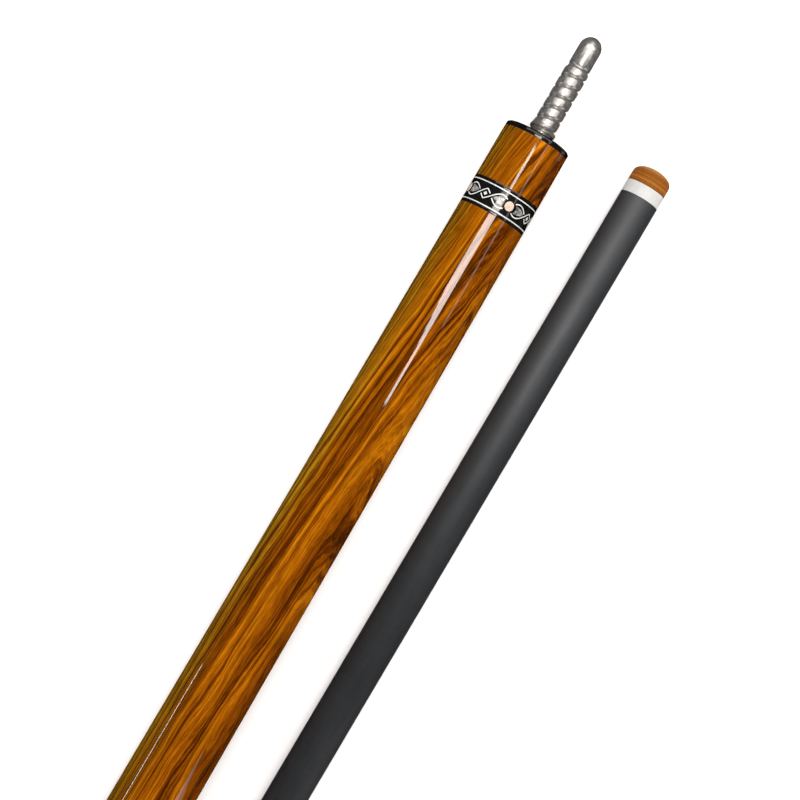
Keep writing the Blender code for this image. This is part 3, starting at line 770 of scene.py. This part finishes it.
def make_joint_end():
    """The collar, the short sleeve, the ring stack and the forearm."""
    collar = [
        (0, JOINT_DIAMETER / 2 - COLLAR_EDGE),
        (-COLLAR_EDGE, JOINT_DIAMETER / 2),
        (-COLLAR_END, butt_radius(COLLAR_END)),
        (-COLLAR_END, PIN_HOLE_RADIUS),
        (0, PIN_HOLE_RADIUS),
    ]
    butt_piece("joint_collar", turned(collar), "black_phenolic")
    sleeve = turned(sleeve_outline(COLLAR_END, SLEEVE_END, FRONT_BORE, 3), edge=0.03 * MM)
    butt_piece("joint_sleeve", sleeve, "figured_wood")
    hoop_front = SLEEVE_END + EDGE_RING
    hoop_rear = RING_END - EDGE_RING - HOOP
    stack = [
        ("ring_edge_front", SLEEVE_END, hoop_front, "black_phenolic"),
        ("ring_hoop_front", hoop_front, hoop_front + HOOP, "silver"),
        ("ring_centre", hoop_front + HOOP, hoop_rear, "black_phenolic"),
        ("ring_hoop_rear", hoop_rear, hoop_rear + HOOP, "silver"),
        ("ring_edge_rear", hoop_rear + HOOP, RING_END, "black_phenolic"),
    ]
    for node, start, end, slot in stack:
        butt_piece(node, turned(sleeve_outline(start, end, FRONT_BORE), edge=0.02 * MM), slot)
    tenon_start = COLLAR_END + GAP
    tenon = [
        (-PIN_TAIL_LENGTH - GAP, 0),
        (-PIN_TAIL_LENGTH - GAP, PIN_TAIL_RADIUS + GAP),
        (-tenon_start, PIN_TAIL_RADIUS + GAP),
        (-tenon_start, FRONT_BORE - GAP),
        (-RING_END, FRONT_BORE - GAP),
    ]
    outside = sleeve_outline(RING_END, FOREARM_END, SCREW_BORE, 40)[:-1]
    screw_hole = [(-FOREARM_END + SCREW_DEPTH, SCREW_BORE), (-FOREARM_END + SCREW_DEPTH, 0)]
    forearm = turned(tenon + outside + screw_hole, edge=0.03 * MM)
    butt_piece("forearm", forearm, "figured_wood")


def make_trim(name, start, end, bore):
    """Silver, black and silver rings."""
    stack = [
        (f"{name}_hoop_front", start, start + TRIM_HOOP, "silver"),
        (f"{name}_ring", start + TRIM_HOOP, end - TRIM_HOOP, "black_phenolic"),
        (f"{name}_hoop_rear", end - TRIM_HOOP, end, "silver"),
    ]
    for node, first, last, slot in stack:
        butt_piece(node, turned(sleeve_outline(first, last, bore), edge=0.03 * MM), slot)


def make_wrap():
    """Linen thread wound side by side, in a groove as deep as the thread."""
    builder = bmesh.new()
    sides = 64
    inner_drop = 0.6 * MM
    fade = 0.3 * MM  # over which the thread sinks in at each end
    start, end = -FRONT_TRIM_END, -GRIP_END

    def radius_at(x, phase):
        ends = smoothstep(start, start - fade, x) * smoothstep(end, end + fade, x)
        bulge = math.sqrt(max(0.0, 1 - (2 * phase - 1) ** 2))
        return butt_radius(-x) - WRAP_FLOOR * 0.5 + WRAP_FLOOR * 0.5 * bulge * ends

    add_helix(builder, start, end, WRAP_THREAD, 5, sides, radius_at)
    inner = [
        (start, radius_at(start, 0)),
        (start, butt_radius(-start) - inner_drop),
        (end, butt_radius(-end) - inner_drop),
        (end, radius_at(end, 0)),
    ]
    add_skin(builder, inner, sides)
    butt_piece("grip_wrap", builder, "linen")


def make_butt_end():
    """The rear sleeve, the cap, the washer and the bumper."""
    sleeve = turned(sleeve_outline(REAR_TRIM_END, BUTT_SLEEVE_END, REAR_BORE, 12), edge=0.03 * MM)
    butt_piece("butt_sleeve", sleeve, "figured_wood", material="butt_wood")
    radius = butt_radius(CAP_END) - 0.03 * MM
    edge = 1.5 * MM
    mouth = 6.9 * MM
    floor = CAP_END - 7.7 * MM
    cap = [
        (-CAP_TRIM_END, butt_radius(CAP_TRIM_END)),
        (-CAP_END + edge, radius),
        (-CAP_END, radius - edge),
        (-CAP_END, mouth),
        (-floor, mouth),
        (-floor, REAR_BORE),
        (-CAP_TRIM_END, REAR_BORE),
    ]
    butt_piece("butt_cap", turned(cap, edge=0.8 * MM), "black_phenolic")
    start = CAP_END + 0.1 * MM
    washer = [
        (-start, WASHER_RADIUS),
        (-start - WASHER_THICKNESS, WASHER_RADIUS),
        (-start - WASHER_THICKNESS, STUD_BORE),
        (-start, STUD_BORE),
    ]
    butt_piece("bumper_washer", turned(washer), "steel", "bumper_washer")
    make_bumper(start + WASHER_THICKNESS + 0.1 * MM)


def make_bumper(front):
    """The rubber bumper: a pocket for its stud, a chamfer, a dome and a shallow dimple."""
    pocket = front + 4 * MM
    chamfer = 0.5 * MM
    outline = [
        (-pocket, 0),
        (-pocket, STUD_BORE),
        (-front, STUD_BORE),
        (-front, BUMPER_RADIUS - chamfer),
        (-front - chamfer, BUMPER_RADIUS),
    ]
    rim = front + 0.9 * MM
    for turn in quarter_turn(ARC_STEPS):
        x = rim + (BUMPER_END - rim) * math.sin(turn)
        outline.append((-x, BUMPER_FLAT_RADIUS + (BUMPER_RADIUS - BUMPER_FLAT_RADIUS) * math.cos(turn)))
    dimple = BUMPER_END - 0.6 * MM
    outline += [(-BUMPER_END, 3.2 * MM), (-dimple, 2.6 * MM), (-dimple, 0)]
    butt_piece("bumper", turned(outline, edge=0.2 * MM), "rubber", "bumper")


def make_tip_end():
    """The domed tip, the ferrule with its tenon and the carbon tube."""
    tip = [(HALF_LENGTH, 0)]
    for turn in quarter_turn(ARC_STEPS)[1:]:
        x = HALF_LENGTH - TIP_DOME + TIP_DOME * math.cos(turn)
        tip.append((x, SHAFT_RADIUS * math.sin(turn) ** TIP_FULLNESS))
    tip += [(HALF_LENGTH - TIP_LENGTH, SHAFT_RADIUS), (HALF_LENGTH - TIP_LENGTH, 0)]
    shaft_piece("tip", turned(tip, edge=0.05 * MM), "leather")
    tenon = SHAFT_RADIUS - TUBE_WALL - GAP
    tenon_end = FERRULE_END + FERRULE_TENON_LENGTH
    ferrule = [
        (HALF_LENGTH - FERRULE_START, 0),
        (HALF_LENGTH - FERRULE_START, SHAFT_RADIUS),
        (HALF_LENGTH - FERRULE_END, SHAFT_RADIUS),
        (HALF_LENGTH - FERRULE_END, tenon),
        (HALF_LENGTH - tenon_end, tenon),
        (HALF_LENGTH - tenon_end, 0),
    ]
    shaft_piece("ferrule", turned(ferrule, edge=0.06 * MM), "ferrule")
    tube_end = HALF_LENGTH - SHAFT_COLLAR_LENGTH - SHAFT_HOOP
    places = [TUBE_START] + stations(SHAFT_STRAIGHT_END, tube_end, 40)
    wall = [(HALF_LENGTH - d, shaft_radius(d)) for d in places]
    bore = [(HALF_LENGTH - d, min(shaft_radius(d) - TUBE_WALL, PLUG_RADIUS + GAP)) for d in places]
    shaft_piece("carbon_tube", turned(wall + bore[::-1], edge=0.06 * MM), "carbon")


def make_socket_end():
    """The hoop, the collar and the plug that holds the insert."""
    rear = SHAFT_COLLAR_LENGTH + SHAFT_HOOP
    collar_bore = PLUG_RADIUS + 0.1 * MM
    hoop = [
        (rear, shaft_radius(HALF_LENGTH - rear)),
        (SHAFT_COLLAR_LENGTH, shaft_radius(HALF_LENGTH - SHAFT_COLLAR_LENGTH)),
        (SHAFT_COLLAR_LENGTH, collar_bore),
        (rear, collar_bore),
    ]
    shaft_piece("shaft_hoop", turned(hoop, edge=0.03 * MM), "silver")
    collar = [
        (SHAFT_COLLAR_LENGTH, shaft_radius(HALF_LENGTH - SHAFT_COLLAR_LENGTH)),
        (COLLAR_EDGE, JOINT_DIAMETER / 2),
        (0, JOINT_DIAMETER / 2 - COLLAR_EDGE),
        (0, collar_bore),
        (SHAFT_COLLAR_LENGTH, collar_bore),
    ]
    shaft_piece("shaft_collar", turned(collar, edge=0.1 * MM), "black_phenolic")
    hole = INSERT_RADIUS + 0.05 * MM
    plug = [
        (INSERT_LENGTH + GAP, 0),
        (INSERT_LENGTH + GAP, hole),
        (0, hole),
        (0, PLUG_RADIUS),
        (PLUG_LENGTH, PLUG_RADIUS),
        (PLUG_LENGTH, 0),
    ]
    shaft_piece("insert_plug", turned(plug, edge=0.05 * MM), "black_phenolic")


def make_insert():
    """The brass insert, with the female thread that the joint pin runs in."""
    builder = bmesh.new()
    sides = 72
    mouth = 2.5 * MM
    chamfer = 0.2 * MM
    crest = SOCKET_RADIUS - 0.35 * MM  # how near the thread comes to the axis
    groove = 0.5 * MM
    outer = [
        (mouth, crest),
        (mouth - 0.4 * MM, PIN_HOLE_RADIUS),
        (chamfer, PIN_HOLE_RADIUS),
        (0, PIN_HOLE_RADIUS + chamfer),
        (0, INSERT_RADIUS - chamfer),
        (chamfer, INSERT_RADIUS),
        (INSERT_LENGTH, INSERT_RADIUS),
        (INSERT_LENGTH, 0),
    ]
    inner = [(SOCKET_DEPTH, 0), (SOCKET_DEPTH, crest)]

    def radius_at(x, phase):
        ends = smoothstep(mouth, mouth + 0.8 * MM, x) * smoothstep(SOCKET_DEPTH, SOCKET_DEPTH - 1 * MM, x)
        return crest + groove * (1 - abs(2 * phase - 1)) * ends

    add_skin(builder, inner, sides)
    add_skin(builder, outer, sides)
    add_helix(builder, SOCKET_DEPTH, mouth, PIN_PITCH, 12, sides, radius_at)
    shaft_piece("shaft_insert", builder, "brass")


# Inlays ----------------------------------------------------------------------------------------

RING_MIDDLE = (SLEEVE_END + RING_END) / 2
RING_RADIUS = butt_radius(RING_MIDDLE)
RING_PITCH = 360 / REPEATS


def on_ring(turn, up, height):
    """A point on the ring: degrees from straight up towards the shaft, metres towards the joint face,
    and metres above the surface."""
    radius = butt_radius(RING_MIDDLE - up) + height
    angle = math.radians(turn)
    return (-RING_MIDDLE + up, -radius * math.sin(angle), radius * math.cos(angle))


def inlay(outline, turn):
    """A low crowned plate with this outline, as (round the ring, along the cue), curved with the ring."""
    builder = bmesh.new()
    centre = (sum(p[0] for p in outline) / len(outline), sum(p[1] for p in outline) / len(outline))
    crown = [(1.0, 0.35), (0.95, 0.8), (0.85, 1.0), (0.6, 1.15), (0.3, 1.25), (0.0, 1.3)]
    layers = [(0.0, -INLAY_DEPTH), (1.0, -INLAY_DEPTH)]
    layers += [(share, height * INLAY_RISE) for share, height in crown]
    rings = []
    for share, height in layers:
        ring = []
        for around, along in outline:
            u = centre[0] + (around - centre[0]) * share
            v = centre[1] + (along - centre[1]) * share
            ring.append(builder.verts.new(on_ring(turn + math.degrees(u / RING_RADIUS), v, height)))
        rings.append(ring)
    for first, second in zip(rings, rings[1:]):
        bridge(builder, first, second)
    return builder


def dot_outline():
    """A circle, a little longer along the cue than round it."""
    turns = [math.tau * i / 48 for i in range(48)]
    return [(DOT_RADIUS * math.cos(t), DOT_RADIUS * 1.04 * math.sin(t)) for t in turns]


def diamond_outline():
    """A square on its corner, with points along its sides so that it bends with the ring."""
    corners = [(DIAMOND_REACH, 0), (0, DIAMOND_REACH), (-DIAMOND_REACH, 0), (0, -DIAMOND_REACH)]
    points = []
    for (x0, y0), (x1, y1) in zip(corners, corners[1:] + corners[:1]):
        points += [(x0 + (x1 - x0) * i / 6, y0 + (y1 - y0) * i / 6) for i in range(6)]
    return points


def lens_outline(side):
    """Pointed away from the dot, and hollowed round it on the near side."""
    length, width, hollow = 3.6 * MM, 2.5 * MM, 0.4 * MM
    steps = 20
    upper = []
    for i in range(steps + 1):
        share = i / steps
        across = width / 2 * math.cos(share * math.pi / 2) ** 0.62
        upper.append((side * (share - 0.5) * length, across))
    lower = [(u, -v) for u, v in reversed(upper[:-1])]
    near = []
    for i in range(1, 12):
        share = i / 12
        v = -width / 2 + width * share
        near.append((side * (-0.5 * length + hollow * math.sin(math.pi * share)), v))
    return upper + lower + near


def strand_swing(turn):
    """How far a strand is from the ring's middle, at degrees from the nearer dot."""
    return STRAND_REACH * math.cos(math.pi / 2 * (turn - STRAND_CREST) / (STRAND_CROSSING - STRAND_CREST))


def strand_spans(side):
    """The stretches of a strand between two dots, broken where the other strand crosses over it."""
    crossing = RING_PITCH - STRAND_CROSSING if side > 0 else STRAND_CROSSING
    ends = (STRAND_START, RING_PITCH - STRAND_START)
    return [(ends[0], crossing - STRAND_GAP), (crossing + STRAND_GAP, ends[1])]


def strand(first_dot, side, span):
    """A silver ribbon along a strand, half round on top."""
    builder = bmesh.new()
    start, end = span
    steps = max(8, round((end - start) / STRAND_STEP))
    section = [(-1, -0.10), (-1, 0.004), (-0.7, 0.022), (0, 0.030), (0.7, 0.022), (1, 0.004), (1, -0.10)]
    places = []
    for i in range(steps + 1):
        turn = start + (end - start) * i / steps
        places.append((turn, side * strand_swing(min(turn, RING_PITCH - turn))))
    rings = []
    for i, (turn, up) in enumerate(places):
        before, after = places[max(i - 1, 0)], places[min(i + 1, steps)]
        run = Vector((math.radians(after[0] - before[0]) * RING_RADIUS, after[1] - before[1])).normalized()
        ring = []
        for across, height in section:
            shift = across * STRAND_WIDTH / 2
            u = turn + math.degrees(-run.y * shift / RING_RADIUS)
            ring.append(builder.verts.new(on_ring(first_dot - u, up + run.x * shift, height * MM)))
        rings.append(ring)
    for first, second in zip(rings, rings[1:]):
        bridge(builder, first, second)
    builder.faces.new(rings[0])
    builder.faces.new(list(reversed(rings[-1])))
    return builder


def make_inlays():
    """For each repeat a dot between two lenses, a diamond halfway to the next, and both strands."""
    for i in range(REPEATS):
        turn = FIRST_DOT + RING_PITCH * i
        butt_piece(f"pearl_dot_{i + 1}", inlay(dot_outline(), turn), "pink_pearl")
        for side in (-1, 1):
            number = 2 * i + (3 + side) // 2
            lens = inlay(lens_outline(side), turn + side * LENS_TURN)
            butt_piece(f"pearl_lens_{number}", lens, "pearl")
        diamond = inlay(diamond_outline(), turn + RING_PITCH / 2)
        butt_piece(f"silver_diamond_{i + 1}", diamond, "silver")
        for side in (-1, 1):
            for part, span in enumerate(strand_spans(side)):
                name = f"silver_strand_{i + 1}_{'ab'[side > 0]}_{part + 1}"
                ribbon = strand(turn, side, span)
                finished(name, ribbon, BUTT, MATERIALS["silver"], "butt")


# Hidden nodes and the floor ---------------------------------------------------------------------


def finish_hidden_nodes():
    """Gives each CAD node that stays its own material."""
    slots = {entry["node"]: entry["material_slot"] for entry in frame["record"]["subparts"]}
    for name, node in frame["nodes"].items():
        for index in range(len(node.data.materials)):
            node.material_slots[index].material = MATERIALS[slots[name]]


def make_floor():
    """A wide white floor under the cue."""
    builder = bmesh.new()
    bmesh.ops.create_grid(builder, x_segments=2, y_segments=2, size=4.0)
    mesh = bpy.data.meshes.new("floor")
    builder.to_mesh(mesh)
    builder.free()
    n = Nodes("floor_white")
    x, y, z = n.coordinates()
    cloud = n.noise(n.vector(x, y, z), scale=0.01, detail=2.0)
    n.set(color=n.ramp(cloud, [(0.3, (0.93, 0.93, 0.93)), (0.7, (0.95, 0.95, 0.95))]), roughness=0.9)
    mesh.materials.append(n.material)
    floor = bpy.data.objects.new("floor", mesh)
    bpy.context.collection.objects.link(floor)
    floor.visible_glossy = False  # the gloss shows only the lights


make_camera()
make_lights()
make_pin()
make_joint_end()
make_inlays()
make_trim("front_trim", FOREARM_END, FRONT_TRIM_END, FRONT_TRIM_BORE)
make_wrap()
make_trim("rear_trim", GRIP_END, REAR_TRIM_END, REAR_BORE)
make_trim("cap_trim", BUTT_SLEEVE_END, CAP_TRIM_END, REAR_BORE)
make_butt_end()
make_tip_end()
make_socket_end()
make_insert()
finish_hidden_nodes()
make_floor()
bpy.context.scene.view_settings.view_transform = "Standard"
